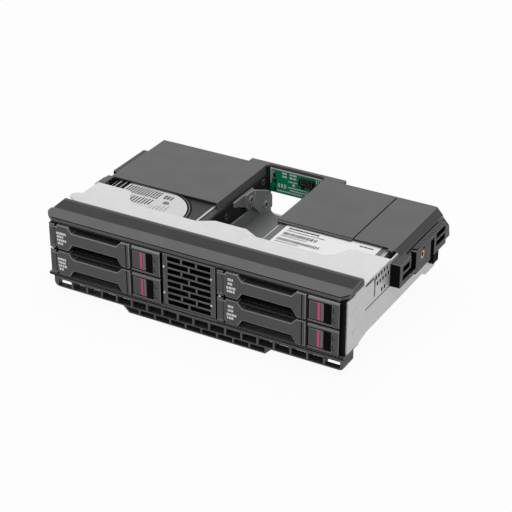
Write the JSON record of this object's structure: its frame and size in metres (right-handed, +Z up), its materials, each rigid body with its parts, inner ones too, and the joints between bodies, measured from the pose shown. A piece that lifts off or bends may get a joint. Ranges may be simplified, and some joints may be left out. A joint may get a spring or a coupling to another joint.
{
  "type": "drive cage",
  "caption": "Half-width hot-swap cage for 2.5-inch drives: two columns of latching carriers beside an open air channel, with a steel shell, front grilles, rear covers and a backplane.",
  "frame": {"origin": "on the ground under the middle of the cage's box", "axes": "+Z up, +X to the right seen from the front, +Y from the carriers' faces to the backplane"},
  "size_m": [0.209, 0.1354, 0.0506],
  "materials": {
    "steel": "pale galvanised sheet",
    "dark_sheet": "matt black",
    "bezel": "fine moulded grain",
    "strip": "satin",
    "duct": "satin moulded",
    "cover": "matt moulded",
    "bracket": "satin moulded",
    "brass": "machined",
    "plug": "glossy",
    "board": "solder mask",
    "connector": "satin moulded",
    "screw": "zinc plated",
    "carrier": "fine moulded grain",
    "lever": "fine moulded grain",
    "button": "satin moulded",
    "window": "glossy",
    "drive": "satin casting and lid"
  },
  "bodies": {
    "cage": {"floor_plate": "steel", "left_side_wall": "steel", "right_side_wall": "steel", "top_plate": "steel", "left_channel_wall": "dark_sheet", "right_channel_wall": "dark_sheet", "left_outer_runner": "bezel", "left_inner_runner": "bezel", "right_inner_runner": "bezel", "right_outer_runner": "bezel", "front_brow": "bezel", "brow_strip": "strip", "left_bezel_post": "bezel", "right_bezel_post": "bezel", "vent_grille": "bezel", "bottom_rail": "bezel", "lower_grille": "bezel", "duct_tray": "duct", "boss_bracket": "duct", "left_cover": "cover", "right_cover": "cover", "right_end_cap": "cover", "rear_bar": "cover", "left_latch_rail": "bracket", "right_latch_bracket": "bracket", "bracket_insert": "brass", "insert_plug": "plug", "backplane": "board", "drive_sockets": "connector", "board_connectors": "connector", "board_screws": "screw"},
    "upper_left_unit": {"upper_left_carrier": "carrier", "upper_left_drive": "drive", "upper_left_drive_screws": "screw", "upper_left_lever_pin": "screw", "upper_left_window": "window"},
    "upper_left_handle": {"upper_left_lever": "lever"},
    "upper_left_release": {"upper_left_button": "button"},
    "lower_left_unit": {"lower_left_carrier": "carrier", "lower_left_drive": "drive", "lower_left_drive_screws": "screw", "lower_left_lever_pin": "screw", "lower_left_window": "window"},
    "lower_left_handle": {"lower_left_lever": "lever"},
    "lower_left_release": {"lower_left_button": "button"},
    "upper_right_unit": {"upper_right_carrier": "carrier", "upper_right_drive": "drive", "upper_right_drive_screws": "screw", "upper_right_lever_pin": "screw", "upper_right_window": "window"},
    "upper_right_handle": {"upper_right_lever": "lever"},
    "upper_right_release": {"upper_right_button": "button"},
    "lower_right_unit": {"lower_right_carrier": "carrier", "lower_right_drive": "drive", "lower_right_drive_screws": "screw", "lower_right_lever_pin": "screw", "lower_right_window": "window"},
    "lower_right_handle": {"lower_right_lever": "lever"},
    "lower_right_release": {"lower_right_button": "button"}
  },
  "joints": [
    {"name": "upper_left_slide", "type": "slide", "parent": "cage", "child": "upper_left_unit", "axis": [0, -1, 0], "range_m": [0, 0.125]},
    {"name": "upper_left_lever_swing", "type": "hinge", "parent": "upper_left_unit", "child": "upper_left_handle", "pos_m": [-0.09205, -0.06515, 0.0377], "axis": [0, 0, -1], "range_deg": [0, 50]},
    {"name": "upper_left_button_press", "type": "slide", "parent": "upper_left_unit", "child": "upper_left_release", "axis": [0, 1, 0], "range_m": [0, 0.0012], "stiffness_N_per_m": 300},
    {"name": "lower_left_slide", "type": "slide", "parent": "cage", "child": "lower_left_unit", "axis": [0, -1, 0], "range_m": [0, 0.125]},
    {"name": "lower_left_lever_swing", "type": "hinge", "parent": "lower_left_unit", "child": "lower_left_handle", "pos_m": [-0.09205, -0.06515, 0.0206], "axis": [0, 0, -1], "range_deg": [0, 50]},
    {"name": "lower_left_button_press", "type": "slide", "parent": "lower_left_unit", "child": "lower_left_release", "axis": [0, 1, 0], "range_m": [0, 0.0012], "stiffness_N_per_m": 300},
    {"name": "upper_right_slide", "type": "slide", "parent": "cage", "child": "upper_right_unit", "axis": [0, -1, 0], "range_m": [0, 0.125]},
    {"name": "upper_right_lever_swing", "type": "hinge", "parent": "upper_right_unit", "child": "upper_right_handle", "pos_m": [0.0212, -0.06515, 0.0377], "axis": [0, 0, -1], "range_deg": [0, 50]},
    {"name": "upper_right_button_press", "type": "slide", "parent": "upper_right_unit", "child": "upper_right_release", "axis": [0, 1, 0], "range_m": [0, 0.0012], "stiffness_N_per_m": 300},
    {"name": "lower_right_slide", "type": "slide", "parent": "cage", "child": "lower_right_unit", "axis": [0, -1, 0], "range_m": [0, 0.125]},
    {"name": "lower_right_lever_swing", "type": "hinge", "parent": "lower_right_unit", "child": "lower_right_handle", "pos_m": [0.0212, -0.06515, 0.0206], "axis": [0, 0, -1], "range_deg": [0, 50]},
    {"name": "lower_right_button_press", "type": "slide", "parent": "lower_right_unit", "child": "lower_right_release", "axis": [0, 1, 0], "range_m": [0, 0.0012], "stiffness_N_per_m": 300}
  ]
}
